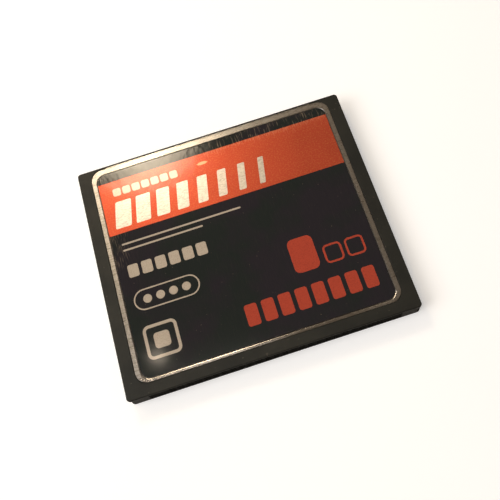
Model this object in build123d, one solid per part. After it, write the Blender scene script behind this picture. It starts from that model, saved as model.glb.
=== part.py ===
from build123d import *
import os

# Compact flash memory card, 42.8 x 36.4 x 3.3 mm.
# X runs along the connector edge, +Y points away from the connector, +Z is the label side.
# The origin lies under the middle of the card, on its underside.

# Outer size of the card
card_width = 42.8
card_length = 36.4
card_thickness = 3.3
corner_radius = 0.5
outer_edge_chamfer = 0.12

# Walls of each moulded frame half
side_wall = 1.6
back_wall = 1.15
front_rail_width = 2.0
rail_thickness = 0.40
seat_ledge = 2.5
corner_post_depth = 5.0
corner_post_width = 2.9
weld_tongue_width = 0.4
weld_tongue_height = 0.2
weld_tongue_inset = 0.85
weld_tongue_back_inset = 0.5
weld_clearance = 0.03

# Guide grooves in the two long sides, of two heights so that the card enters one way up
wide_groove_height = 1.60
narrow_groove_height = 0.99
groove_depth = 0.57
groove_length = 25.78
groove_mouth_length = 1.2
groove_mouth_flare = 0.3

# Ribs and posts inside the side walls, measured along Y from the middle of the inner space
rib_length = 1.2
rib_depth = 0.8
rib_offsets = (-13.0, 5.0, 13.0)
post_offset = -5.0
post_radius = 0.9
post_clearance = 0.1

# Stamped covers
sheet_thickness = 0.15
cover_side_margin = 1.97
cover_front_margin = 1.72
cover_back_margin = 0.45
cover_corner_radius = 1.8
grip_tab_margin = 0.28
grip_tab_inset = 4.56
flange_height = 1.3
flange_end_gap = 0.4
pocket_side_margin = 2.77
pocket_front_margin = 2.27
pocket_back_margin = 1.40
pocket_corner_radius = 1.4
pocket_depth = 0.12
pocket_slope = 0.12
snap_tab_width = 3.0
snap_tab_height = 1.0
snap_tab_pitch = 10.0
snap_tab_count = 3
snap_barb = 0.1
snap_barb_height = 0.35
seat_clearance = 0.04

# Label film and insulating films
label_thickness = 0.10
label_clearance = 0.03
film_thickness = 0.05
film_margin = 3.2

# Connector housing and its two rows of contacts
contacts_per_row = 25
end_contact_margin = 3.23
row_spacing = 1.27
housing_depth = 5.5
housing_recess = 0.1
housing_clearance = 0.03
ear_width = 0.9
ear_height = 1.2
ear_depth = 2.5
ear_setback = 1.5
mouth_size = 0.88
mouth_depth = 0.25
bore_size = 0.62
front_wall = 0.8
chamber_roof = 0.19
contact_thickness = 0.30
contact_clearance = 0.01
fork_gap = 0.38
fork_start = 0.95
fork_bump = 0.55
fork_root = 2.6
tine_taper = 0.06
tine_tip = 0.08
tail_height = 0.24
tail_reach = 0.7
foot_length = 0.9
foot_thickness = 0.15

# Circuit board
board_thickness = 0.40
board_side_gap = 0.2
board_back_gap = 0.15
board_front_gap = 0.12

# Moulded chip packages and their leads
mould_draft = 6
chip_standoff = 0.05
chip_headroom = 0.13
lead_pitch = 0.5
lead_width = 0.22
lead_thickness = 0.13
flash_end_margin = 0.25
flash_gap = 5.0
flash_lead_reach = 0.8
flash_leads_per_end = 24
controller_corner = 1.0
controller_lead_reach = 1.0
controller_leads_per_side = 25
controller_shift = -0.6
pin_mark_radius = 0.6
pin_mark_depth = 0.08
pin_mark_inset = 1.4
regulator_end_margin = 0.5
regulator_length = 1.6
regulator_lead_pitch = 0.95
regulator_lead_width = 0.4
regulator_lead_reach = 0.6
regulator_offset = 4.7

# Clock crystal, under the board
crystal_width = 3.2
crystal_length = 2.5
crystal_base_height = 0.45
crystal_lid_height = 0.35
crystal_lid_margin = 0.2
crystal_offset = -4.8

# Tantalum capacitors, under the board
tantalum_length = 3.5
tantalum_width = 2.8
tantalum_strap = 0.1
tantalum_strap_width = 2.2
tantalum_foot = 0.8
tantalum_offsets = (-6.8, -2.3)

# Two-ended chip capacitors and resistors, and the free strips around the big chips
capacitor_length = 1.6
capacitor_width = 0.8
capacitor_height = 0.8
resistor_length = 1.0
resistor_width = 0.5
resistor_height = 0.35
end_cap_share = 0.2
resistor_count = 10
resistor_spacing = 3.0
resistor_gap = 1.3
flash_front_gap = 2.0
flash_back_gap = 1.1
back_capacitor_count = 4
back_capacitor_spacing = 8.4
back_capacitor_inset = 0.9
side_capacitor_count = 5
side_capacitor_spacing = 3.6
side_capacitor_share = 0.81
column_share = 0.32

# Worked out from the sizes above: the card and its frame
mid_z = card_thickness / 2
side_x = card_width / 2
front_y = -card_length / 2
back_y = card_length / 2
inner_x = side_x - side_wall
inner_front_y = front_y + corner_post_depth
inner_back_y = back_y - back_wall
inner_middle_y = (inner_front_y + inner_back_y) / 2
panel_z = pocket_depth + sheet_thickness
mid_plane = Plane.XY.offset(mid_z)

# The connector between the rails and the corner posts
housing_half_width = side_x - corner_post_width - housing_clearance
housing_front_y = front_y + housing_recess
housing_back_y = housing_front_y + housing_depth
housing_height = card_thickness - 2 * (rail_thickness + housing_clearance)
chamber_height = housing_height - row_spacing - 2 * chamber_roof
contact_pitch = 2 * (housing_half_width - end_contact_margin) / (contacts_per_row - 1)
foot_end = housing_depth + tail_reach + foot_length

# The board and what stands on it
board_top_z = mid_z + board_thickness / 2
board_bottom_z = mid_z - board_thickness / 2
board_half_width = inner_x - board_side_gap
board_front_y = housing_back_y + board_front_gap
board_back_y = inner_back_y - board_back_gap
chip_height = board_bottom_z - panel_z - film_thickness - chip_standoff - chip_headroom
lead_z = chip_standoff + chip_height / 2 - lead_thickness / 2
resistor_y = housing_front_y + foot_end + resistor_gap + resistor_length / 2
back_capacitor_y = board_back_y - back_capacitor_inset - capacitor_length / 2
flash_low_y = resistor_y + resistor_length / 2 + flash_front_gap
flash_high_y = back_capacitor_y - capacitor_length / 2 - flash_back_gap
flash_y = (flash_low_y + flash_high_y) / 2
flash_length = flash_high_y - flash_low_y - 2 * flash_lead_reach
flash_width = lead_pitch * (flash_leads_per_end - 1) + 2 * flash_end_margin
flash_x = (flash_width + flash_gap) / 2
controller_size = lead_pitch * (controller_leads_per_side - 1) + 2 * controller_corner
controller_y = (board_front_y + board_back_y) / 2 + controller_shift
side_strip_x = controller_size / 2 + controller_lead_reach
side_strip_width = board_half_width - side_strip_x
column_x = side_strip_x + column_share * side_strip_width
side_capacitor_x = side_strip_x + side_capacitor_share * side_strip_width
regulator_width = 2 * (regulator_lead_pitch + regulator_end_margin)


def block(low, high):
    """A straight-sided solid between two corners."""
    size = [top - bottom for bottom, top in zip(low, high)]
    return Pos(*low) * Box(*size, align=(Align.MIN, Align.MIN, Align.MIN))


def flipped(solid):
    """The same form seen from the other face of the card."""
    return mirror(solid, about=mid_plane)


def plan_rectangle(side_margin, front_margin, back_margin, radius, grow=0.0):
    """A rounded rectangle given by its distances from the card's own edges."""
    width = card_width - 2 * side_margin + 2 * grow
    low = front_y + front_margin - grow
    high = back_y - back_margin + grow
    return Pos(0, (low + high) / 2) * RectangleRounded(width, high - low, radius + grow)


# The covers lie in a seat that follows their outline, so both use this sketch.
def cover_outline(grow=0.0):
    """Outline of a cover: a rounded plate that steps out to a wide tab at the grip edge."""
    margins = (cover_side_margin, cover_front_margin, cover_back_margin)
    plate = plan_rectangle(*margins, cover_corner_radius, grow)
    tab_width = card_width - 2 * grip_tab_inset + 2 * grow
    tab_low = back_y - cover_back_margin - cover_corner_radius
    tab_high = back_y - grip_tab_margin + grow
    tab = Pos(0, (tab_low + tab_high) / 2) * Rectangle(tab_width, tab_high - tab_low)
    return plate + tab


def snap_tab_places():
    """Middle of each snap tab along Y."""
    first = inner_middle_y - snap_tab_pitch * (snap_tab_count - 1) / 2
    return [first + snap_tab_pitch * i for i in range(snap_tab_count)]


# Frame halves: moulded as near mirror images, one with a weld tongue and one with its groove.
def guide_groove(side, height):
    """Cutter for one side groove, flared where the card enters and rounded at its end."""
    half = height / 2
    mouth_y = front_y + groove_mouth_length
    end_y = front_y + groove_length - half
    with BuildSketch(Plane.YZ.offset(side * (side_x - groove_depth))) as outline:
        with BuildLine():
            Polyline((mouth_y, mid_z - half), (front_y, mid_z - half - groove_mouth_flare),
                     (front_y, mid_z + half + groove_mouth_flare), (mouth_y, mid_z + half),
                     (end_y, mid_z + half))
            ThreePointArc((end_y, mid_z + half), (end_y + half, mid_z), (end_y, mid_z - half))
            Line((end_y, mid_z - half), (mouth_y, mid_z - half))
        make_face()
    return extrude(outline.sketch, side * groove_depth)


def weld_path(grow=0.0):
    """Plan of the weld seam: along both sides and the back wall, open at the connector."""
    outer_x = side_x - weld_tongue_inset + grow
    outer_y = back_y - weld_tongue_back_inset + grow
    start_y = front_y + groove_mouth_length - grow
    band = weld_tongue_width + 2 * grow
    outer = Pos(0, (start_y + outer_y) / 2) * Rectangle(2 * outer_x, outer_y - start_y)
    inner_low = start_y - band
    inner_high = outer_y - band
    inner = Rectangle(2 * (outer_x - band), inner_high - inner_low)
    return outer - Pos(0, (inner_low + inner_high) / 2) * inner


def frame_cuts():
    """Everything that is taken out of the solid slab of the lower half."""
    opening_x = housing_half_width + housing_clearance
    cavity = block((-inner_x, inner_front_y, rail_thickness), (inner_x, inner_back_y, mid_z))
    connector_bay = block((-opening_x, front_y, rail_thickness), (opening_x, inner_front_y, mid_z))
    ear_x = opening_x + ear_width
    ear_low = housing_front_y + ear_setback - housing_clearance
    ear_high = ear_low + ear_depth + 2 * housing_clearance
    ear_floor_z = mid_z - ear_height / 2 - housing_clearance
    ear_pocket = block((-ear_x, ear_low, ear_floor_z), (ear_x, ear_high, mid_z))
    window_x = side_x - seat_ledge
    window = block((-window_x, front_y + front_rail_width, 0), (window_x, inner_back_y, rail_thickness))
    seat = extrude(cover_outline(seat_clearance), sheet_thickness)
    return cavity + connector_bay + ear_pocket + window + seat


def cover_slots():
    """Slots that the snap tabs and the folded back flange of a cover pass through."""
    slots = []
    tab_outer = side_x - cover_side_margin + seat_clearance
    tab_inner = side_x - cover_side_margin - sheet_thickness - seat_clearance
    half_width = snap_tab_width / 2 + seat_clearance
    for y in snap_tab_places():
        slots.append(block((tab_inner, y - half_width, 0), (tab_outer, y + half_width, rail_thickness)))
        slots.append(block((-tab_outer, y - half_width, 0), (-tab_inner, y + half_width, rail_thickness)))
    flange_x = side_x - grip_tab_inset - flange_end_gap + seat_clearance
    flange_high = back_y - grip_tab_margin + seat_clearance
    flange_low = back_y - grip_tab_margin - sheet_thickness - seat_clearance
    slots.append(block((-flange_x, flange_low, 0), (flange_x, flange_high, flange_height + seat_clearance)))
    return slots


def frame_half():
    """The lower half, without its weld tongue."""
    half = extrude(RectangleRounded(card_width, card_length, corner_radius), mid_z)
    half = chamfer(half.faces().sort_by(Axis.Z)[0].edges(), outer_edge_chamfer)
    half -= frame_cuts()
    half -= cover_slots()
    rib_x = inner_x - rib_depth
    for side in (-1, 1):
        wall_x, tip_x = sorted((side * inner_x, side * rib_x))
        for offset in rib_offsets:
            y = inner_middle_y + offset
            half += block((wall_x, y - rib_length / 2, rail_thickness),
                          (tip_x, y + rib_length / 2, board_bottom_z))
        post = Pos(side * inner_x, inner_middle_y + post_offset, rail_thickness) * Cylinder(
            post_radius, mid_z - rail_thickness, align=(Align.CENTER, Align.CENTER, Align.MIN))
        half += post & block((-inner_x, front_y, rail_thickness), (inner_x, back_y, mid_z))
    half -= guide_groove(-1, wide_groove_height)
    half -= guide_groove(1, narrow_groove_height)
    return half


def lower_frame():
    """Lower half with the weld tongue that stands above the split."""
    return frame_half() + extrude(Plane.XY.offset(mid_z) * weld_path(), weld_tongue_height)


def upper_frame():
    """Upper half with the groove that takes the tongue."""
    groove = extrude(Plane.XY.offset(mid_z) * weld_path(weld_clearance), weld_tongue_height + weld_clearance)
    return flipped(frame_half()) - groove


# Covers: one stamping, drawn inwards around a pocket for the label and folded down at the tabs.
def pocket_outline(grow=0.0):
    """Outline of the flat floor of the label pocket."""
    margins = (pocket_side_margin, pocket_front_margin, pocket_back_margin)
    return plan_rectangle(*margins, pocket_corner_radius, grow)


def snap_tab():
    """Bent tab at the +X side with its outward barb, drawn in XZ and centred on Y."""
    outer = side_x - cover_side_margin
    inner = outer - sheet_thickness
    catch_z = rail_thickness + seat_clearance
    profile = Polyline((inner, sheet_thickness), (inner, snap_tab_height), (outer, snap_tab_height),
                       (outer, catch_z + snap_barb_height), (outer + snap_barb, catch_z), (outer, catch_z),
                       (outer, sheet_thickness), close=True)
    return extrude(Plane.XZ * make_face(profile), snap_tab_width / 2, both=True)


def cover():
    """The lower cover, with its outer face on the underside of the card."""
    plate = extrude(cover_outline(), sheet_thickness)
    # the drawn wall keeps the sheet's thickness, so the inner side starts a little further out
    wall_shift = sheet_thickness * 0.414
    drawn = loft([Plane.XY.offset(sheet_thickness) * pocket_outline(wall_shift + pocket_slope),
                  Plane.XY.offset(panel_z) * pocket_outline(wall_shift)])
    pocket = loft([Plane.XY * pocket_outline(pocket_slope), Plane.XY.offset(pocket_depth) * pocket_outline()])
    plate = plate + drawn - pocket
    flange_x = side_x - grip_tab_inset - flange_end_gap
    flange_high = back_y - grip_tab_margin
    plate += block((-flange_x, flange_high - sheet_thickness, sheet_thickness),
                   (flange_x, flange_high, flange_height))
    tab = snap_tab()
    for y in snap_tab_places():
        plate += Pos(0, y, 0) * tab
        plate += Pos(0, y, 0) * mirror(tab, about=Plane.YZ)
    return plate


def front_label():
    """Printed film on the floor of the upper pocket."""
    floor_z = card_thickness - pocket_depth
    return extrude(Plane.XY.offset(floor_z) * pocket_outline(-label_clearance), label_thickness)


def insulator():
    """Film glued inside the lower cover, under the chips."""
    half_width = side_x - film_margin
    low = (-half_width, front_y + film_margin, panel_z)
    return block(low, (half_width, back_y - film_margin, panel_z + film_thickness))


# Connector: a housing with one cavity for each contact, and the contacts pressed in from behind.
def contact_places():
    """Middle of each contact along X."""
    first = -contact_pitch * (contacts_per_row - 1) / 2
    return [first + contact_pitch * i for i in range(contacts_per_row)]


def contact_cavity():
    """Cutter for one contact, centred on the Y axis, with the housing's face at Y zero."""
    bore_face = Plane.XZ.offset(-mouth_depth) * Rectangle(bore_size, bore_size)
    mouth = loft([Plane.XZ * Rectangle(mouth_size, mouth_size), bore_face])
    bore = extrude(bore_face, -(front_wall - mouth_depth))
    chamber_depth = housing_depth - front_wall
    chamber = extrude(Plane.XZ.offset(-front_wall) * Rectangle(bore_size, chamber_height), -chamber_depth)
    return mouth + bore + chamber


def connector_housing():
    """Housing with an ear at each end that is trapped between the frame halves."""
    half_height = housing_height / 2
    body = block((-housing_half_width, housing_front_y, mid_z - half_height),
                 (housing_half_width, housing_back_y, mid_z + half_height))
    ear_x = housing_half_width + ear_width
    ear_y = housing_front_y + ear_setback
    body += block((-ear_x, ear_y, mid_z - ear_height / 2), (ear_x, ear_y + ear_depth, mid_z + ear_height / 2))
    cavity = contact_cavity()
    rows = (mid_z - row_spacing / 2, mid_z + row_spacing / 2)
    return body - [Pos(x, housing_front_y, z) * cavity for z in rows for x in contact_places()]


def contact():
    """A contact of the upper row: a flat tuning fork, a base held in its chamber and a soldered foot."""
    half = chamber_height / 2 - contact_clearance
    tine = half - tine_taper
    gap = fork_gap / 2
    tail = tail_height / 2
    row_z = mid_z + row_spacing / 2
    foot_z = board_top_z - row_z
    foot_start = housing_depth + tail_reach
    outline = Polyline(
        (fork_start, tine), (housing_depth, half), (housing_depth, tail),
        (foot_start, foot_z + foot_thickness), (foot_end, foot_z + foot_thickness), (foot_end, foot_z),
        (foot_start - foot_thickness, foot_z),
        (housing_depth, -tail), (housing_depth, -half), (fork_start, -tine), (fork_start, tine_tip - tine),
        (fork_start + fork_bump, -gap / 2), (fork_root, -gap), (fork_root, gap),
        (fork_start + fork_bump, gap / 2), (fork_start, tine - tine_tip), close=True)
    flat = Plane.YZ * make_face(outline)
    return Pos(0, housing_front_y, row_z) * extrude(flat, contact_thickness / 2, both=True)


def contact_row():
    """The upper row."""
    one = contact()
    return [Pos(x, 0, 0) * one for x in contact_places()]


# Board: notched at both sides for the posts of the frame.
def circuit_board():
    """Laminate board between the connector and the back wall."""
    middle_y = (board_front_y + board_back_y) / 2
    length = board_back_y - board_front_y
    outline = Pos(0, middle_y) * Rectangle(2 * board_half_width, length)
    for side in (-1, 1):
        outline -= Pos(side * inner_x, inner_middle_y + post_offset) * Circle(post_radius + post_clearance)
    return extrude(Plane.XY.offset(board_bottom_z) * outline, board_thickness)


# Components: each is drawn on the board's upper face, and those below are flipped to the lower one.
def on_board(x, y):
    """A place on the board's upper face."""
    return Pos(x, y, board_top_z)


def moulded_body(width, length, height):
    """Epoxy package with drafted sides, parted half-way up."""
    middle = Plane.XY.offset(chip_standoff + height / 2)
    upper = extrude(middle * Rectangle(width, length), height / 2, taper=mould_draft)
    lower = extrude(middle * Rectangle(width, length), -height / 2, taper=mould_draft)
    return upper + lower


def pin_mark(width, length, height):
    """Small dimple beside the first lead."""
    place = Pos(pin_mark_inset - width / 2, length / 2 - pin_mark_inset, chip_standoff + height)
    return place * extrude(RegularPolygon(pin_mark_radius, 8), -pin_mark_depth)


def gull_leads(count, pitch, width, body_half, reach, middle_z):
    """A row of bent leads along X, leaving a package at its +Y side."""
    knee = reach / 2
    profile = Polyline(
        (0, middle_z), (0, middle_z + lead_thickness), (knee, lead_thickness), (reach, lead_thickness),
        (reach, 0), (knee - lead_thickness, 0), close=True)
    lead = Pos(0, body_half, 0) * extrude(Plane.YZ * make_face(profile), width / 2, both=True)
    first = -pitch * (count - 1) / 2
    return [Pos(first + pitch * i, 0, 0) * lead for i in range(count)]


def flash_chip(side):
    """One of the two memory packages, side by side above the board."""
    size = (flash_width, flash_length, chip_height)
    body = moulded_body(*size) - pin_mark(*size)
    return on_board(side * flash_x, flash_y) * body


def flash_leads(side):
    """Leads at both short ends of a memory package."""
    row = gull_leads(flash_leads_per_end, lead_pitch, lead_width, flash_length / 2, flash_lead_reach, lead_z)
    place = on_board(side * flash_x, flash_y)
    return [place * Rot(0, 0, turn) * lead for turn in (0, 180) for lead in row]


def controller_chip():
    """Square controller package."""
    size = (controller_size, controller_size, chip_height)
    body = moulded_body(*size) - pin_mark(*size)
    return flipped(on_board(0, controller_y) * body)


def controller_leads():
    """Leads at all four sides of the controller."""
    row = gull_leads(controller_leads_per_side, lead_pitch, lead_width, controller_size / 2,
                     controller_lead_reach, lead_z)
    place = on_board(0, controller_y)
    return [flipped(place * Rot(0, 0, 90 * turn) * lead) for turn in range(4) for lead in row]


def regulator_place():
    """Middle of the regulator, beside the controller."""
    return on_board(column_x + tantalum_length / 2, controller_y + regulator_offset)


def voltage_regulator():
    """Small supply regulator."""
    return flipped(regulator_place() * moulded_body(regulator_width, regulator_length, chip_height))


def regulator_leads():
    """Three leads at one side of the regulator and two at the other."""
    sizes = (regulator_lead_width, regulator_length / 2, regulator_lead_reach, lead_z)
    three = gull_leads(3, regulator_lead_pitch, *sizes)
    two = gull_leads(2, 2 * regulator_lead_pitch, *sizes)
    leads = three + [Rot(0, 0, 180) * lead for lead in two]
    return [flipped(regulator_place() * lead) for lead in leads]


def crystal_place():
    """Middle of the clock crystal, beside the controller."""
    return on_board(-column_x - crystal_width / 2, controller_y + crystal_offset)


def crystal_base():
    """Ceramic tray of the clock crystal."""
    low = (-crystal_width / 2, -crystal_length / 2, 0)
    tray = block(low, (crystal_width / 2, crystal_length / 2, crystal_base_height))
    return flipped(crystal_place() * tray)


def crystal_lid():
    """Metal lid brazed on the crystal's tray."""
    half_width = crystal_width / 2 - crystal_lid_margin
    half_length = crystal_length / 2 - crystal_lid_margin
    top = crystal_base_height + crystal_lid_height
    lid = block((-half_width, -half_length, crystal_base_height), (half_width, half_length, top))
    return flipped(crystal_place() * lid)


def tantalum_places():
    """Middle of each supply capacitor, beside the controller."""
    return [on_board(column_x + tantalum_length / 2, controller_y + offset) for offset in tantalum_offsets]


def tantalum_body():
    """Moulded capacitor body between its two straps."""
    inner_length = tantalum_length - 2 * tantalum_strap
    low = (-inner_length / 2, -tantalum_width / 2, tantalum_strap)
    return block(low, (inner_length / 2, tantalum_width / 2, chip_height))


def tantalum_straps():
    """The two metal straps, each up one end and folded under the body."""
    half = tantalum_length / 2
    foot = half - tantalum_foot
    top = chip_height / 2
    profile = Polyline((foot, 0), (half, 0), (half, top), (half - tantalum_strap, top),
                       (half - tantalum_strap, tantalum_strap), (foot, tantalum_strap), close=True)
    strap = extrude(Plane.XZ * make_face(profile), tantalum_strap_width / 2, both=True)
    return [strap, mirror(strap, about=Plane.YZ)]


def tantalum_capacitors():
    """Bodies of the supply capacitors."""
    return [flipped(place * tantalum_body()) for place in tantalum_places()]


def tantalum_terminals():
    """Straps of the supply capacitors."""
    return [flipped(place * strap) for place in tantalum_places() for strap in tantalum_straps()]


def chip_middle(length, width, height):
    """Bare middle of a two-ended chip part that lies along Y."""
    half = length * (0.5 - end_cap_share)
    return block((-width / 2, -half, 0), (width / 2, half, height))


def chip_ends(length, width, height):
    """Plated ends of a two-ended chip part."""
    half = length / 2
    cap = block((-width / 2, half - length * end_cap_share, 0), (width / 2, half, height))
    return [cap, Rot(0, 0, 180) * cap]


def row_places(count, spacing, y):
    """Evenly spaced places across the board."""
    first = -spacing * (count - 1) / 2
    return [on_board(first + spacing * i, y) for i in range(count)]


def side_places():
    """Places of the capacitors beside the controller."""
    first = controller_y - side_capacitor_spacing * (side_capacitor_count - 1) / 2
    return [on_board(-side_capacitor_x, first + side_capacitor_spacing * i)
            for i in range(side_capacitor_count)]


def ceramic_parts(solids):
    """Copies of a capacitor's solids, in a row at the back and in a column below."""
    above = row_places(back_capacitor_count, back_capacitor_spacing, back_capacitor_y)
    parts = [place * solid for place in above for solid in solids]
    return parts + [flipped(place * solid) for place in side_places() for solid in solids]


def ceramic_capacitors():
    """Middles of the capacitors."""
    return ceramic_parts([chip_middle(capacitor_length, capacitor_width, capacitor_height)])


def capacitor_terminals():
    """Plated ends of the capacitors."""
    return ceramic_parts(chip_ends(capacitor_length, capacitor_width, capacitor_height))


def resistor_parts(solids):
    """Copies of a resistor's solids in the row behind the connector."""
    places = row_places(resistor_count, resistor_spacing, resistor_y)
    return [place * solid for place in places for solid in solids]


def chip_resistors():
    """Middles of the series resistors."""
    return resistor_parts([chip_middle(resistor_length, resistor_width, resistor_height)])


def resistor_terminals():
    """Plated ends of the series resistors."""
    return resistor_parts(chip_ends(resistor_length, resistor_width, resistor_height))


upper_contacts = contact_row()
nodes = {
    "upper_frame": upper_frame(),
    "lower_frame": lower_frame(),
    "top_cover": flipped(cover()),
    "bottom_cover": cover(),
    "front_label": front_label(),
    "upper_insulator": flipped(insulator()),
    "lower_insulator": insulator(),
    "circuit_board": circuit_board(),
    "connector_housing": connector_housing(),
    "upper_contacts": upper_contacts,
    "lower_contacts": [flipped(one) for one in upper_contacts],
    "flash_chip_left": flash_chip(-1),
    "flash_chip_right": flash_chip(1),
    "flash_leads_left": flash_leads(-1),
    "flash_leads_right": flash_leads(1),
    "controller_chip": controller_chip(),
    "controller_leads": controller_leads(),
    "voltage_regulator": voltage_regulator(),
    "regulator_leads": regulator_leads(),
    "crystal_base": crystal_base(),
    "crystal_lid": crystal_lid(),
    "tantalum_capacitors": tantalum_capacitors(),
    "tantalum_terminals": tantalum_terminals(),
    "ceramic_capacitors": ceramic_capacitors(),
    "capacitor_terminals": capacitor_terminals(),
    "chip_resistors": chip_resistors(),
    "resistor_terminals": resistor_terminals(),
}

os.makedirs("parts", exist_ok=True)
for name, shape in nodes.items():
    solids = shape if isinstance(shape, list) else [shape]
    children = [solid for item in solids for solid in item.solids()]
    export_step(Compound(children=children) if len(children) > 1 else children[0], f"parts/{name}.step")
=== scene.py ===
import math
import bmesh
import bpy
from mathutils import Matrix, Vector


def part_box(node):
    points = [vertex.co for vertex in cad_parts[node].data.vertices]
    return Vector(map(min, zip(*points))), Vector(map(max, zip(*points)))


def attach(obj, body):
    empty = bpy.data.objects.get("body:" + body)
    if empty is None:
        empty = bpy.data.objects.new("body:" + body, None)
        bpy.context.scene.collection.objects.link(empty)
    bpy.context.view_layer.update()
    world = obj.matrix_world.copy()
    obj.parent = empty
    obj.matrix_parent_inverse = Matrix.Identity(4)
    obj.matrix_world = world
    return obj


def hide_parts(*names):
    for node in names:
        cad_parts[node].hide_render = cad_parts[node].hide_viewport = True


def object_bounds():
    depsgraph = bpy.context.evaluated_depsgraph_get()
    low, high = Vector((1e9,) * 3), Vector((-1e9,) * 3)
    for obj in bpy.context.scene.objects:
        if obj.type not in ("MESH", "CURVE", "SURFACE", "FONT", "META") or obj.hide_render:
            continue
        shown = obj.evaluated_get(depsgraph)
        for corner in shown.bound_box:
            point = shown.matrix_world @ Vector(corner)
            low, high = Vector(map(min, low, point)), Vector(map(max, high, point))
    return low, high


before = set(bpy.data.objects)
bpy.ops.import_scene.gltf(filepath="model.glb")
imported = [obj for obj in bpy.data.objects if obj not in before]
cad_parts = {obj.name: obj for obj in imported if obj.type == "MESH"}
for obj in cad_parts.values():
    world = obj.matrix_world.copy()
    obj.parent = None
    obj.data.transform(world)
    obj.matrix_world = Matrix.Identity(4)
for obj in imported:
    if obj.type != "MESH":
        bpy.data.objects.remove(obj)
solid_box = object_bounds()
MM = 0.001


# Frame halves: two mouldings of glass-filled black plastic, welded together along their middle
# plane around the connector, the board and the folded edges of the covers.
# The mould is spark-eroded, so they come out matt and finely grained, with softened edges.
FRAME_EDGE = 0.05 * MM
FRAME_REACH = 0.6 * MM
SEAM = 0.0005 * MM
TOUCH = 0.001 * MM
SHARP_TURN = math.radians(25)


def tone(red, green, blue):
    """Linear colour from the 0 to 255 values of a picture."""
    parts = [value / 255 for value in (red, green, blue)]
    return [p / 12.92 if p <= 0.04045 else ((p + 0.055) / 1.055) ** 2.4 for p in parts] + [1.0]


def add(tree, kind, inputs=None, **settings):
    """A new node. Its inputs are named by identifier, and each gets a value or a link."""
    made = tree.nodes.new(kind)
    for key, value in settings.items():
        setattr(made, key, value)
    sockets = {socket.identifier: socket for socket in made.inputs}
    for key, value in (inputs or {}).items():
        if isinstance(value, bpy.types.NodeSocket):
            tree.links.new(value, sockets[key])
        else:
            sockets[key].default_value = value
    return made


def math_node(tree, operation, first, second=0.0):
    """Result of one sum."""
    values = {"Value": first, "Value_001": second}
    return add(tree, "ShaderNodeMath", values, operation=operation).outputs["Value"]


def place_of(tree):
    """Point on the piece, in metres."""
    return add(tree, "ShaderNodeTexCoord").outputs["Object"]


def noise(tree, size, detail=3.0, stretch=(1.0, 1.0, 1.0), turn=0.0):
    """Noise whose patches are about size across, drawn out along an axis by stretch."""
    grid = {"Vector": place_of(tree), "Rotation": (0, 0, turn), "Scale": [1 / part for part in stretch]}
    point = add(tree, "ShaderNodeMapping", grid).outputs["Vector"]
    inputs = {"Vector": point, "Scale": 1 / size, "Detail": detail}
    return add(tree, "ShaderNodeTexNoise", inputs).outputs["Fac"]


def ramp(tree, value, low, high, start=0.0, end=1.0):
    """Value carried from low..high to start..end, and held there."""
    steps = {"Value": value, "From Min": low, "From Max": high, "To Min": start, "To Max": end}
    return add(tree, "ShaderNodeMapRange", steps).outputs["Result"]


def mixed(tree, share, first, second):
    """Colour between first and second."""
    inputs = {"Factor_Float": share, "A_Color": first, "B_Color": second}
    made = add(tree, "ShaderNodeMix", inputs, data_type="RGBA")
    return next(socket for socket in made.outputs if socket.identifier == "Result_Color")


def relief(tree, height, depth, under=None):
    """Surface normal for a height of 0 to 1 that stands for depth."""
    inputs = {"Height": height, "Distance": depth, "Strength": 1.0}
    if under is not None:
        inputs["Normal"] = under
    return add(tree, "ShaderNodeBump", inputs).outputs["Normal"]


def finish(name, colour, **constants):
    """A material, its tree and its shader, whose even values are set on the shader itself."""
    material = bpy.data.materials.new(name)
    material.use_nodes = True
    shader = material.node_tree.nodes["Principled BSDF"]
    shader.inputs["Base Color"].default_value = colour
    for key, value in constants.items():
        shader.inputs[key.replace("_", " ")].default_value = value
    return material, material.node_tree, shader


def wire(tree, shader, **sources):
    """Feeds sockets of a shader."""
    for key, source in sources.items():
        tree.links.new(source, shader.inputs[key.replace("_", " ")])


def moulded_plastic():
    """Matt black plastic with a fine grain, faint flow clouds and specks of dust."""
    dark, worn, dust = tone(36, 37, 35), tone(46, 46, 42), tone(66, 63, 56)
    material, tree, shader = finish("Moulded black plastic", dark, IOR=1.27)
    grain = noise(tree, 0.16 * MM, 4.0)
    cloud = noise(tree, 5.0 * MM, 3.0)
    speck = ramp(tree, noise(tree, 0.45 * MM, 1.0), 0.74, 0.78)
    ground = mixed(tree, ramp(tree, cloud, 0.35, 0.7), dark, worn)
    wire(tree, shader, Base_Color=mixed(tree, speck, ground, dust))
    wire(tree, shader, Roughness=ramp(tree, grain, 0.3, 0.7, 0.40, 0.56))
    wire(tree, shader, Normal=relief(tree, grain, 0.012 * MM))
    return material


def closed_copy(node):
    """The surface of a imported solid, joined along its seams and free of needless edges."""
    shape = bmesh.new()
    shape.from_mesh(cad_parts[node].data)
    bmesh.ops.remove_doubles(shape, verts=shape.verts, dist=SEAM)
    bmesh.ops.dissolve_limit(shape, angle_limit=math.radians(0.5), verts=shape.verts, edges=shape.edges)
    return shape


def soften(shape, width, steps, reached):
    """Rounds the sharp edges that are reached."""
    sharp = [edge for edge in shape.edges if len(edge.link_faces) == 2
             and edge.calc_face_angle() > SHARP_TURN
             and all(reached(vertex.co) for vertex in edge.verts)]
    bmesh.ops.bevel(shape, geom=sharp, offset=width, segments=steps, profile=0.5, affect="EDGES")


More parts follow.
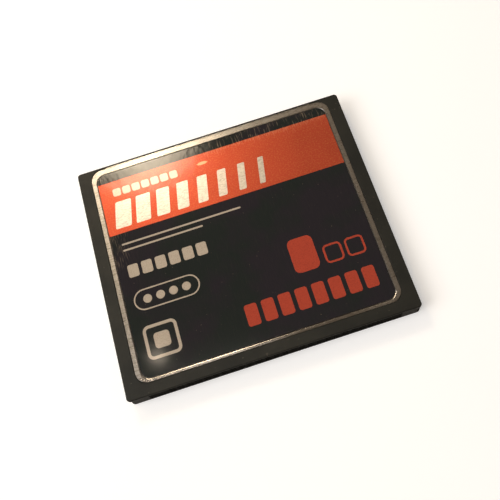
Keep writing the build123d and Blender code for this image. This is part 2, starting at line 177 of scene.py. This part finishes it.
def fitted(shape, name, node, material):
    """Makes a piece of the surface, gives it its finish and puts it in the solid's place."""
    mesh = bpy.data.meshes.new(name)
    shape.to_mesh(mesh)
    shape.free()
    mesh.shade_smooth()
    mesh.set_sharp_from_angle(angle=math.radians(40))
    for polygon in mesh.polygons:
        # true flats keep their own normal, so the light bends only over the rounded edges
        polygon.use_smooth = max(abs(part) for part in polygon.normal) < 0.9999
    mesh.materials.append(material)
    piece = bpy.data.objects.new(name, mesh)
    bpy.context.scene.collection.objects.link(piece)
    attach(piece, "root")
    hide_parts(node)


low, high = solid_box
frame_material = moulded_plastic()


def on_outside(point):
    """True on the outer faces of the card and in its side grooves."""
    inset = min(point.x - low.x, high.x - point.x, point.y - low.y, high.y - point.y)
    return inset < FRAME_REACH or min(point.z - low.z, high.z - point.z) < TOUCH


for half in ("upper", "lower"):
    moulding = closed_copy(f"{half}_frame")
    soften(moulding, FRAME_EDGE, 2, on_outside)
    fitted(moulding, f"{half}_moulding", f"{half}_frame", frame_material)


# Covers: two alike stampings of thin stainless sheet, drawn in around a pocket for the label.
# They snap into the frame with barbed tabs, so only a narrow satin border shows around the label. Its
# inner edge is rolled by the connector, and it steps down to a lip along the grip edge.
LIP_STEP = 0.045 * MM
LIP_SLOPE = 0.02 * MM
LIP_BACK = 0.45 * MM
COVER_EDGE = 0.05 * MM
ROLLED_EDGE = 0.16 * MM
ROLLED_REACH = 3.4 * MM
UPRIGHT = (0.0, 0.1)
SLOPED = (0.5, 0.9)
LEVEL = 0.99


def satin_steel():
    """Grey sheet with fine marks, faint pits and dull stains, burnished by the connector."""
    bright, dull = tone(161, 157, 153), tone(118, 113, 106)
    material, tree, shader = finish("Satin stainless sheet", bright, Metallic=1.0)
    spot = add(tree, "ShaderNodeSeparateXYZ", {"Vector": place_of(tree)}).outputs
    marks = noise(tree, 0.13 * MM, 3.0, (6.0, 1.0, 1.0))
    ticks = math_node(tree, "MULTIPLY", ramp(tree, spot["X"], -17.9 * MM, -18.5 * MM),
                      ramp(tree, noise(tree, 0.22 * MM, 0.0, (12.0, 1.0, 1.0)), 0.50, 0.62, 0.0, 0.6))
    pits = noise(tree, 0.35 * MM, 4.0)
    cloud = ramp(tree, noise(tree, 3.0 * MM, 4.0), 0.45, 0.75, 0.0, 0.4)
    dirt = math_node(tree, "MAXIMUM", ramp(tree, pits, 0.5, 0.75, 0.0, 0.7), cloud)
    stain = math_node(tree, "MAXIMUM", ticks, dirt)
    wire(tree, shader, Base_Color=mixed(tree, stain, bright, dull))
    burnished = math_node(tree, "MULTIPLY", ramp(tree, spot["X"], 12.0 * MM, 16.0 * MM, 1.0, 0.0),
                          ramp(tree, spot["Y"], low.y + 2.2 * MM, low.y + 3.0 * MM, 0.14, 0.0))
    satin = ramp(tree, marks, 0.3, 0.7, 0.26, 0.38)
    wire(tree, shader, Roughness=math_node(tree, "SUBTRACT", satin, burnished))
    wire(tree, shader, Normal=relief(tree, pits, 0.0015 * MM, relief(tree, marks, 0.003 * MM)))
    return material


def lowered_lip(shape, face_z, side):
    """Steps the border down behind the line where the grip edge begins."""
    line = high.y - LIP_BACK
    for y in (line, line + LIP_SLOPE):
        border = [face for face in shape.faces if all(abs(v.co.z - face_z) < TOUCH for v in face.verts)]
        parts = set(border)
        for face in border:
            parts.update(face.edges)
            parts.update(face.verts)
        bmesh.ops.bisect_plane(shape, geom=list(parts), dist=TOUCH, plane_co=(0, y, 0), plane_no=(0, 1, 0))
    for corner in shape.verts:
        if abs(corner.co.z - face_z) < TOUCH and corner.co.y > line + LIP_SLOPE / 2:
            corner.co.z -= side * LIP_STEP


def border_edges(shape, face_z, slope, reach):
    """Edges between the level border and faces whose normals rise as slope says, up to reach in Y."""
    found = []
    for edge in shape.edges:
        slopes = sorted(abs(face.normal.z) for face in edge.link_faces)
        depth = max(abs(vertex.co.z - face_z) for vertex in edge.verts)
        near = max(vertex.co.y for vertex in edge.verts) < reach
        meets = len(slopes) == 2 and slope[0] <= slopes[0] < slope[1] and slopes[1] > LEVEL
        if meets and near and depth < LIP_STEP + TOUCH:
            found.append(edge)
    return found


steel = satin_steel()
for half, side in (("top", 1), ("bottom", -1)):
    stamping = closed_copy(f"{half}_cover")
    face_z = high.z if side > 0 else low.z
    lowered_lip(stamping, face_z, side)
    stamping.normal_update()
    rim = border_edges(stamping, face_z, UPRIGHT, high.y)
    bmesh.ops.bevel(stamping, geom=rim, offset=COVER_EDGE, segments=2, profile=0.5, affect="EDGES")
    stamping.normal_update()
    rolled = border_edges(stamping, face_z, SLOPED, low.y + ROLLED_REACH)
    bmesh.ops.bevel(stamping, geom=rolled, offset=ROLLED_EDGE, segments=5, profile=0.5, affect="EDGES")
    fitted(stamping, f"{half}_stamping", f"{half}_cover", steel)


# Label: a printed film under a clear glossy face, stuck to the floor of the upper pocket.
# Its ground is black with a broad field of orange foil. It is scuffed along the edge that the
# thumb pushes and at its left side, and its face is slightly wavy towards the grip edge.
BAND_LOW = 6.30 * MM
BAND_HIGH = 15.20 * MM
CLEAR_FACE = 0.105
CLEAR_INDEX = 1.45
NICK = (-1.85 * MM, 13.55 * MM, 0.85 * MM, 0.27 * MM)


def printed_film():
    """Black film with a grained orange foil field, faint clouds, hair scratches and scuffs."""
    black, violet = tone(27, 34, 34), tone(34, 32, 39)
    orange, gold = tone(186, 75, 52), tone(210, 130, 74)
    scuff, bare = tone(160, 142, 120), tone(230, 158, 122)
    material, tree, shader = finish("Printed label film", black, Specular_IOR_Level=0.0, Coat_Weight=1.0,
                                    Coat_Roughness=CLEAR_FACE, Coat_IOR=CLEAR_INDEX)
    spot = add(tree, "ShaderNodeSeparateXYZ", {"Vector": place_of(tree)})
    across, along = spot.outputs["X"], spot.outputs["Y"]
    ragged = math_node(tree, "MULTIPLY", noise(tree, 0.25 * MM, 3.0), 0.12 * MM)
    edge = math_node(tree, "ADD", along, ragged)
    above = ramp(tree, along, BAND_LOW - 0.01 * MM, BAND_LOW + 0.01 * MM)
    below = ramp(tree, edge, BAND_HIGH + 0.04 * MM, BAND_HIGH + 0.08 * MM, 1.0, 0.0)
    band = math_node(tree, "MULTIPLY", above, below)
    ground = mixed(tree, ramp(tree, noise(tree, 7.0 * MM, 3.0), 0.42, 0.6), black, violet)
    foil = mixed(tree, ramp(tree, noise(tree, 0.22 * MM, 2.0), 0.48, 0.66, 0.0, 0.3), orange, gold)
    printed = mixed(tree, band, ground, foil)
    strokes = ramp(tree, noise(tree, 0.19 * MM, 2.0, (1.0, 9.0, 1.0), 0.05), 0.58, 0.74)
    thumb = ramp(tree, along, 13.4 * MM, 15.0 * MM)
    rubbed = math_node(tree, "MULTIPLY", thumb, ramp(tree, across, -6.0 * MM, 1.0 * MM))
    hairs = ramp(tree, noise(tree, 0.10 * MM, 2.0, (1.0, 16.0, 1.0), 0.6), 0.54, 0.70, 0.0, 0.8)
    left_side = math_node(tree, "MULTIPLY", ramp(tree, across, -15.6 * MM, -17.6 * MM),
                          math_node(tree, "SUBTRACT", ramp(tree, along, 0.5 * MM, 2.6 * MM), band))
    scratched = math_node(tree, "MAXIMUM", math_node(tree, "MULTIPLY", strokes, rubbed),
                          math_node(tree, "MULTIPLY", hairs, math_node(tree, "MAXIMUM", left_side, 0.03)))
    dust = ramp(tree, noise(tree, 0.30 * MM, 1.0), 0.77, 0.80, 0.0, 0.5)
    fringe = math_node(tree, "MULTIPLY", ramp(tree, along, BAND_HIGH - 0.9 * MM, BAND_HIGH - 0.1 * MM),
                       ramp(tree, noise(tree, 0.13 * MM, 2.0, (1.0, 4.0, 1.0)), 0.46, 0.62, 0.0, 0.8))
    frayed = math_node(tree, "MULTIPLY", fringe, math_node(tree, "MULTIPLY", band, rubbed))
    marked = math_node(tree, "MAXIMUM", frayed, math_node(tree, "MAXIMUM", scratched, dust))
    nick_x = math_node(tree, "DIVIDE", math_node(tree, "SUBTRACT", across, NICK[0]), NICK[2])
    nick_y = math_node(tree, "DIVIDE", math_node(tree, "SUBTRACT", along, NICK[1]), NICK[3])
    squared = math_node(tree, "ADD", math_node(tree, "MULTIPLY", nick_x, nick_x),
                        math_node(tree, "MULTIPLY", nick_y, nick_y))
    torn = math_node(tree, "ADD", squared, math_node(tree, "MULTIPLY", nick_x, 0.6))
    nick = ramp(tree, math_node(tree, "ADD", torn, noise(tree, 0.3 * MM, 2.0)), 1.2, 1.5, 1.0, 0.0)
    rubbed_tone = mixed(tree, band, scuff, bare)
    worn = mixed(tree, math_node(tree, "MULTIPLY", marked, 0.5), printed, rubbed_tone)
    wire(tree, shader, Base_Color=mixed(tree, nick, worn, bare))
    haze = ramp(tree, noise(tree, 2.2 * MM, 4.0), 0.35, 0.7, 0.36, 0.43)
    wire(tree, shader, Roughness=math_node(tree, "ADD", haze, math_node(tree, "MULTIPLY", marked, 0.2)))
    wire(tree, shader, Metallic=math_node(tree, "MULTIPLY", band, 0.62))
    wire(tree, shader, Normal=relief(tree, noise(tree, 0.09 * MM, 2.0), 0.002 * MM))
    ripple = math_node(tree, "MULTIPLY", noise(tree, 0.6 * MM, 5.0, (1.0, 2.0, 1.0)),
                       ramp(tree, along, 0.0, 13.0 * MM))
    wire(tree, shader, Coat_Normal=relief(tree, ripple, 0.016 * MM))
    return material


def dress(nodes, material):
    """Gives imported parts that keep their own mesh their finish."""
    for node in nodes:
        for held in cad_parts[node].material_slots:
            held.material = material


dress(["front_label"], printed_film())


# Print: plain bars, blocks and rings in silver, pale grey and red ink, screened on the film.
# Each row is one layer of ink, a few thousandths of a millimetre thick.
INK = 0.006 * MM
film_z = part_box("front_label")[1].z


def ink(name, colour, faded, metallic, roughness, streak):
    """Ink with fine pores and slightly uneven cover, drawn out along the printing stroke."""
    material, tree, shader = finish(name, colour, Metallic=metallic, Specular_IOR_Level=0.0,
                                    Coat_Weight=1.0, Coat_Roughness=CLEAR_FACE, Coat_IOR=CLEAR_INDEX)
    pores = noise(tree, 0.12 * MM, 3.0, (streak, 1.0, 1.0))
    wire(tree, shader, Base_Color=mixed(tree, ramp(tree, pores, 0.45, 0.75), colour, faded))
    wire(tree, shader, Roughness=ramp(tree, pores, 0.3, 0.7, roughness - 0.06, roughness + 0.1))
    wire(tree, shader, Normal=relief(tree, pores, 0.003 * MM))
    return material


def printed_row_tree():
    """Tree for a row of equal bars or rings, with round corners, a slant and a taper."""
    tree = bpy.data.node_groups.new("Printed row", "GeometryNodeTree")
    tree.interface.new_socket("Count", in_out="INPUT", socket_type="NodeSocketInt")
    for label in ("Left", "Middle", "Base", "Pitch", "Width", "Height", "Corner", "Stroke", "Slant",
                  "Last width", "Thickness"):
        tree.interface.new_socket(label, in_out="INPUT", socket_type="NodeSocketFloat")
    tree.interface.new_socket("Ink", in_out="INPUT", socket_type="NodeSocketMaterial")
    tree.interface.new_socket("Print", in_out="OUTPUT", socket_type="NodeSocketGeometry")
    given = tree.nodes.new("NodeGroupInput").outputs

    def outline(inset):
        """Rounded rectangle, inset from the bar's own edge."""
        size = {}
        for side in ("Width", "Height"):
            size[side] = math_node(tree, "SUBTRACT", given[side], math_node(tree, "MULTIPLY", inset, 2.0))
        flat = add(tree, "GeometryNodeCurvePrimitiveQuadrilateral", size, mode="RECTANGLE").outputs["Curve"]
        radius = math_node(tree, "SUBTRACT", given["Corner"], inset)
        rounded = {"Curve": flat, "Count": 6, "Radius": radius, "Limit Radius": True}
        return add(tree, "GeometryNodeFilletCurve", rounded, mode="POLY").outputs["Curve"]

    pierced = math_node(tree, "GREATER_THAN", given["Stroke"], 0.0)
    hole = add(tree, "GeometryNodeSwitch", {"Switch": pierced, "True": outline(given["Stroke"])},
               input_type="GEOMETRY").outputs["Output"]
    both = tree.nodes.new("GeometryNodeJoinGeometry")
    tree.links.new(outline(0.0), both.inputs["Geometry"])
    tree.links.new(hole, both.inputs["Geometry"])
    patch = add(tree, "GeometryNodeFillCurve", {"Curve": both.outputs["Geometry"]}, mode="TRIANGLES")
    raised = add(tree, "GeometryNodeExtrudeMesh", {"Mesh": patch.outputs["Mesh"], "Individual": False,
                                                   "Offset Scale": given["Thickness"]})
    underside = add(tree, "GeometryNodeFlipFaces", {"Mesh": patch.outputs["Mesh"]})
    bar = tree.nodes.new("GeometryNodeJoinGeometry")
    tree.links.new(raised.outputs["Mesh"], bar.inputs["Geometry"])
    tree.links.new(underside.outputs["Mesh"], bar.inputs["Geometry"])
    closed = add(tree, "GeometryNodeMergeByDistance", {"Geometry": bar.outputs["Geometry"], "Distance": 1e-7})

    first_x = math_node(tree, "ADD", given["Left"], math_node(tree, "MULTIPLY", given["Width"], 0.5))
    start = add(tree, "ShaderNodeCombineXYZ", {"X": first_x, "Y": given["Middle"], "Z": given["Base"]})
    step = add(tree, "ShaderNodeCombineXYZ", {"X": given["Pitch"]})
    row = add(tree, "GeometryNodeMeshLine", {"Count": given["Count"], "Start Location": start.outputs[0],
                                             "Offset": step.outputs[0]}, mode="OFFSET")
    last = math_node(tree, "MAXIMUM", math_node(tree, "SUBTRACT", given["Count"], 1.0), 1.0)
    order = tree.nodes.new("GeometryNodeInputIndex").outputs["Index"]
    share = ramp(tree, order, 0.0, last, 1.0, given["Last width"])
    size = add(tree, "ShaderNodeCombineXYZ", {"X": share, "Y": 1.0, "Z": 1.0})
    bars = add(tree, "GeometryNodeInstanceOnPoints", {"Points": row.outputs["Mesh"], "Scale": size.outputs[0],
                                                      "Instance": closed.outputs["Geometry"]})
    real = add(tree, "GeometryNodeRealizeInstances", {"Geometry": bars.outputs["Instances"]})
    position = tree.nodes.new("GeometryNodeInputPosition").outputs["Position"]
    here = add(tree, "ShaderNodeSeparateXYZ", {"Vector": position})
    rise = math_node(tree, "SUBTRACT", here.outputs["Y"], given["Middle"])
    lean = add(tree, "ShaderNodeCombineXYZ", {"X": math_node(tree, "MULTIPLY", rise, given["Slant"])})
    leaning = add(tree, "GeometryNodeSetPosition", {"Geometry": real.outputs["Geometry"],
                                                    "Offset": lean.outputs[0]})
    inked = add(tree, "GeometryNodeSetMaterial", {"Geometry": leaning.outputs["Geometry"],
                                                  "Material": given["Ink"]})
    tree.links.new(inked.outputs["Geometry"], tree.nodes.new("NodeGroupOutput").inputs["Print"])
    return tree


row_tree = printed_row_tree()


def grown(name, tree, **values):
    """The plain mesh that a tree makes from these inputs, as a piece of the card."""
    piece = bpy.data.objects.new(name, bpy.data.meshes.new(name))
    bpy.context.scene.collection.objects.link(piece)
    modifier = piece.modifiers.new("Row", "NODES")
    modifier.node_group = tree
    names = {item.name: item.identifier for item in tree.interface.items_tree if item.in_out == "INPUT"}
    for label, value in values.items():
        modifier[names[label.replace("_", " ")]] = value
    mesh = bpy.data.meshes.new_from_object(piece.evaluated_get(bpy.context.evaluated_depsgraph_get()))
    mesh.name = name
    piece.modifiers.clear()
    piece.data = mesh
    return piece


def printed_row(name, colour, count, left, middle, width, height, pitch=0.0, corner=0.0, stroke=0.0,
                slant=0.0, last=1.0):
    """One row of bars in millimetres, laid on the film."""
    sizes = {"Left": left, "Middle": middle, "Pitch": pitch, "Width": width, "Height": height,
             "Corner": corner, "Stroke": stroke}
    scaled = {key: value * MM for key, value in sizes.items()}
    piece = grown(name, row_tree, Count=count, Base=film_z, Slant=slant, Last_width=last, Thickness=INK,
                  Ink=colour, **scaled)
    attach(piece, "root")


white_ink = ink("White ink", tone(234, 222, 204), tone(210, 194, 170), 0.3, 0.42, 1.0)
silver_ink = ink("Silver ink", tone(208, 202, 194), tone(166, 158, 148), 0.8, 0.36, 3.0)
pale_ink = ink("Pale grey ink", tone(184, 172, 157), tone(158, 148, 134), 0.0, 0.45, 1.0)
red_ink = ink("Red ink", tone(174, 69, 51), tone(148, 57, 44), 0.0, 0.42, 1.0)

printed_row("small_white_bars", white_ink, 7, -16.6, 13.2, 1.25, 1.3, pitch=1.52, corner=0.3)
printed_row("slanted_silver_bars", silver_ink, 8, -17.0, 9.35, 2.5, 4.4, pitch=3.15, corner=0.25,
            slant=0.18, last=0.36)
printed_row("upper_hairline", pale_ink, 1, -17.1, 4.45, 18.6, 0.28, corner=0.14)
printed_row("lower_hairline", pale_ink, 1, -17.1, 3.45, 12.4, 0.28, corner=0.14)
printed_row("level_blocks", pale_ink, 6, -17.1, 0.0, 1.6, 2.0, pitch=2.1, corner=0.3)
printed_row("pill_ring", pale_ink, 1, -17.3, -4.8, 9.9, 3.2, corner=1.6, stroke=0.2)
printed_row("pill_dots", pale_ink, 4, -15.9, -4.8, 1.3, 1.3, pitch=1.95, corner=0.65)
printed_row("square_ring", pale_ink, 1, -17.1, -11.2, 5.0, 5.0, corner=0.9, stroke=0.45)
printed_row("square_dot", pale_ink, 1, -15.75, -11.2, 2.3, 2.3, corner=0.5)
printed_row("red_block", red_ink, 1, 6.2, -5.65, 3.8, 5.3, corner=0.9)
printed_row("red_rings", red_ink, 2, 10.9, -6.8, 2.8, 2.9, pitch=3.3, corner=0.7, stroke=0.3)
printed_row("red_bars", red_ink, 8, -2.4, -11.9, 1.85, 3.2, pitch=2.5, corner=0.35)


# Insulating films: die-cut amber polyimide, glued inside both covers behind the pocket, so that
# no lead can touch the sheet.
def amber_film():
    """Clear amber film with faint cloudiness."""
    material, tree, shader = finish("Amber insulating film", tone(196, 128, 40), Transmission_Weight=0.4)
    cloud = noise(tree, 2.0 * MM, 3.0)
    wire(tree, shader, Base_Color=mixed(tree, cloud, tone(208, 140, 48), tone(176, 108, 30)))
    wire(tree, shader, Roughness=ramp(tree, cloud, 0.3, 0.7, 0.2, 0.32))
    return material


dress(["upper_insulator", "lower_insulator"], amber_film())


# Connector: a housing of black glass-filled resin with two rows of square mouths. Each holds a
# gold-plated fork, pressed in from behind, whose foot is soldered to the board.
def speckled(name, colour, second, size, rough, metallic=0.0, depth=0.003):
    """A finish of two close tones in small patches, with a grain of the same size."""
    material, tree, shader = finish(name, colour, Metallic=metallic)
    patches = noise(tree, size * MM, 3.0)
    wire(tree, shader, Base_Color=mixed(tree, ramp(tree, patches, 0.35, 0.65), colour, second))
    wire(tree, shader, Roughness=ramp(tree, patches, 0.3, 0.7, rough - 0.05, rough + 0.08))
    wire(tree, shader, Normal=relief(tree, patches, depth * MM))
    return material


housing_resin = speckled("Black connector resin", tone(28, 29, 27), tone(36, 36, 34), 0.18, 0.75, depth=0.006)
housing_resin.node_tree.nodes["Principled BSDF"].inputs["IOR"].default_value = 1.12
gold_plate = speckled("Gold plate", tone(236, 196, 120), tone(216, 172, 96), 0.25, 0.24, metallic=1.0)
dress(["connector_housing"], housing_resin)
dress(["upper_contacts", "lower_contacts"], gold_plate)


# Circuit board: thin glass-epoxy laminate under green solder resist, with copper tracks that
# show through it as a faint pattern.
def solder_resist():
    """Green resist over a rectangular net of tracks."""
    green, track = tone(24, 78, 52), tone(44, 108, 70)
    material, tree, shader = finish("Green solder resist", green, Coat_Weight=0.3)
    tracks = add(tree, "ShaderNodeTexVoronoi", {"Vector": place_of(tree), "Scale": 1 / (1.1 * MM)},
                 distance="CHEBYCHEV", feature="F1").outputs["Distance"]
    copper = ramp(tree, math_node(tree, "PINGPONG", tracks, 0.12), 0.05, 0.07)
    wire(tree, shader, Base_Color=mixed(tree, copper, green, track))
    wire(tree, shader, Roughness=ramp(tree, noise(tree, 0.5 * MM), 0.3, 0.7, 0.28, 0.4))
    wire(tree, shader, Normal=relief(tree, copper, 0.01 * MM))
    return material


dress(["circuit_board"], solder_resist())


# Chip packages: matt black epoxy, transfer-moulded around tin-plated leads that are bent down
# and soldered to the board. The ends of the small parts have the same tin.
chip_epoxy = speckled("Chip epoxy", tone(34, 34, 35), tone(46, 46, 47), 0.12, 0.62, depth=0.006)
lead_tin = speckled("Matt tin plate", tone(200, 200, 196), tone(172, 172, 168), 0.15, 0.34, metallic=1.0)
dress(["flash_chip_left", "flash_chip_right", "controller_chip", "voltage_regulator"], chip_epoxy)
dress(["flash_leads_left", "flash_leads_right", "controller_leads", "regulator_leads",
       "tantalum_terminals", "capacitor_terminals", "resistor_terminals"], lead_tin)


# Small parts: a crystal in its ceramic tray with a brazed lid, moulded supply capacitors, fired
# ceramic capacitors and film resistors, all soldered to the board.
crystal_tray = speckled("Crystal tray ceramic", tone(92, 84, 76), tone(110, 100, 90), 0.2, 0.55)
crystal_cap = speckled("Crystal lid metal", tone(206, 196, 170), tone(186, 176, 150), 0.3, 0.28, metallic=1.0)
tantalum_epoxy = speckled("Tantalum epoxy", tone(214, 152, 52), tone(196, 134, 40), 0.2, 0.48)
capacitor_body = speckled("Capacitor ceramic", tone(150, 118, 82), tone(134, 104, 72), 0.15, 0.5)
resistor_film = speckled("Resistor film", tone(28, 30, 34), tone(40, 42, 46), 0.1, 0.36)
dress(["crystal_base"], crystal_tray)
dress(["crystal_lid"], crystal_cap)
dress(["tantalum_capacitors"], tantalum_epoxy)
dress(["ceramic_capacitors"], capacitor_body)
dress(["chip_resistors"], resistor_film)


# Table: a large white surface, so bright in the picture that only the card's shadow shows on it,
# curved up at its far rim so that low views end in white too.
TABLE_RADIUS = 0.6
TABLE_RISE = 0.35
RIM_STEPS = 12
TABLE_SIDES = 96
SHINE = 0.46
SHADOW_DEPTH = 0.70
CARD_REACH = 0.07
OPEN_REACH = 0.30


def table_mesh():
    """A flat disc whose rim turns up in a quarter round."""
    profile = [(TABLE_RADIUS * share, 0.0) for share in (0.1, 0.3, 0.6)]
    for step in range(RIM_STEPS + 1):
        turn = math.pi / 2 * step / RIM_STEPS
        profile.append((TABLE_RADIUS + TABLE_RISE * math.sin(turn), TABLE_RISE * (1 - math.cos(turn))))
    shape = bmesh.new()
    rings = []
    for radius, height in profile:
        turns = [2 * math.pi * side / TABLE_SIDES for side in range(TABLE_SIDES)]
        rings.append([shape.verts.new((radius * math.cos(t), radius * math.sin(t), height)) for t in turns])
    shape.faces.new(rings[0])
    for inner, outer in zip(rings, rings[1:]):
        for side in range(TABLE_SIDES):
            after = (side + 1) % TABLE_SIDES
            shape.faces.new((inner[side], outer[side], outer[after], inner[after]))
    mesh = bpy.data.meshes.new("table")
    shape.to_mesh(mesh)
    shape.free()
    mesh.shade_smooth()
    return mesh


def white_table():
    """White matt surface that the camera sees as white through a painted glow, weaker near the card and full
    beyond OPEN_REACH, with the card's shadow kept.
    """
    material = bpy.data.materials.new("White table")
    material.use_nodes = True
    tree = material.node_tree
    tree.nodes.clear()
    rays = add(tree, "ShaderNodeLightPath").outputs
    seen = math_node(tree, "MAXIMUM", rays["Is Camera Ray"], rays["Is Transmission Ray"])
    plain = add(tree, "ShaderNodeBsdfDiffuse", {"Color": (0.5, 0.49, 0.47, 1)}).outputs["BSDF"]
    shaded = add(tree, "ShaderNodeBsdfDiffuse", {"Color": (SHADOW_DEPTH,) * 3 + (1,)}).outputs["BSDF"]
    away = add(tree, "ShaderNodeVectorMath", {"Vector": place_of(tree)}, operation="LENGTH").outputs["Value"]
    # painted glow for camera and transmission rays: SHINE within CARD_REACH of the card, rising to full
    # strength beyond OPEN_REACH
    shine = ramp(tree, away, CARD_REACH, OPEN_REACH, SHINE, 1.0)
    glow = add(tree, "ShaderNodeEmission", {"Color": (1, 1, 1, 1), "Strength": shine}).outputs["Emission"]
    bright = tree.nodes.new("ShaderNodeAddShader")
    tree.links.new(shaded, bright.inputs[0])
    tree.links.new(glow, bright.inputs[1])
    either = tree.nodes.new("ShaderNodeMixShader")
    tree.links.new(seen, either.inputs[0])
    tree.links.new(plain, either.inputs[1])
    tree.links.new(bright.outputs[0], either.inputs[2])
    tree.links.new(either.outputs[0], tree.nodes.new("ShaderNodeOutputMaterial").inputs["Surface"])
    return material


table = bpy.data.objects.new("table", table_mesh())
bpy.context.scene.collection.objects.link(table)
table.data.materials.append(white_table())


# Light: a broad soft source at the left, a warm shaded lamp beyond the far edge with the wall it
# lights, a tiny lamp and a small panel overhead, all mirrored by steel and film, and a dim room.
def lamp(name, place, size, power, colour, breadth=None):
    """An area lamp: a disc that points at the card, or a rectangle that points straight down."""
    light = bpy.data.lights.new(name, "AREA")
    light.shape = "RECTANGLE" if breadth else "DISK"
    light.size = size
    light.size_y = breadth or size
    light.energy = power
    light.color = colour
    held = bpy.data.objects.new(name, light)
    held.location = place
    if not breadth:
        held.rotation_euler = (-Vector(place)).to_track_quat("-Z", "Y").to_euler()
    bpy.context.scene.collection.objects.link(held)


lamp("window", (-0.30, -0.05, 0.32), 0.30, 1.33, (1.0, 0.98, 0.96))
lamp("far_bulb", (-0.0289, 0.1060, 0.1375), 0.024, 0.0216, (1.0, 0.83, 0.60))
lamp("far_shade", (-0.0289, 0.1062, 0.1377), 0.042, 0.0554, (1.0, 0.83, 0.60))
lamp("lit_wall", (-0.1316, 0.1259, 0.2200), 0.081, 0.085, (1.0, 0.83, 0.60))
lamp("pinpoint", (-0.0452, 0.0234, 0.1523), 0.003, 0.0009, (1.0, 0.84, 0.66))
lamp("panel", (-0.027, 0.004, 0.150), 0.040, 0.0088, (1.0, 0.92, 0.82), breadth=0.016)
room = bpy.data.worlds.new("room")
room.use_nodes = True
room.node_tree.nodes["Background"].inputs["Color"].default_value = (1.0, 0.78, 0.56, 1)
room.node_tree.nodes["Background"].inputs["Strength"].default_value = 0.22
bpy.context.scene.world = room
bpy.context.scene.view_settings.view_transform = "Standard"


# Camera: held close above the near edge and turned a little, so that the card stands askew and
# its far edge looks shorter.
CAMERA_PLACE = Vector((2.05, -35.94, 94.0)) * MM
CAMERA_RIGHT = Vector((0.9516, -0.2946, -0.0881)).normalized()
CAMERA_FORWARD = Vector((0.0287, 0.3702, -0.9285)).normalized()

camera = bpy.data.cameras.new("camera")
camera.sensor_width = 36
camera.lens = 47.54
camera.shift_x = -0.04
camera.shift_y = -0.05
camera.clip_start = 0.002
camera.clip_end = 10
held_camera = bpy.data.objects.new("camera", camera)
upright = CAMERA_RIGHT.cross(CAMERA_FORWARD)
turned = Matrix((CAMERA_RIGHT, upright, -CAMERA_FORWARD)).transposed().to_4x4()
held_camera.matrix_world = Matrix.Translation(CAMERA_PLACE) @ turned
bpy.context.scene.collection.objects.link(held_camera)
bpy.context.scene.camera = held_camera
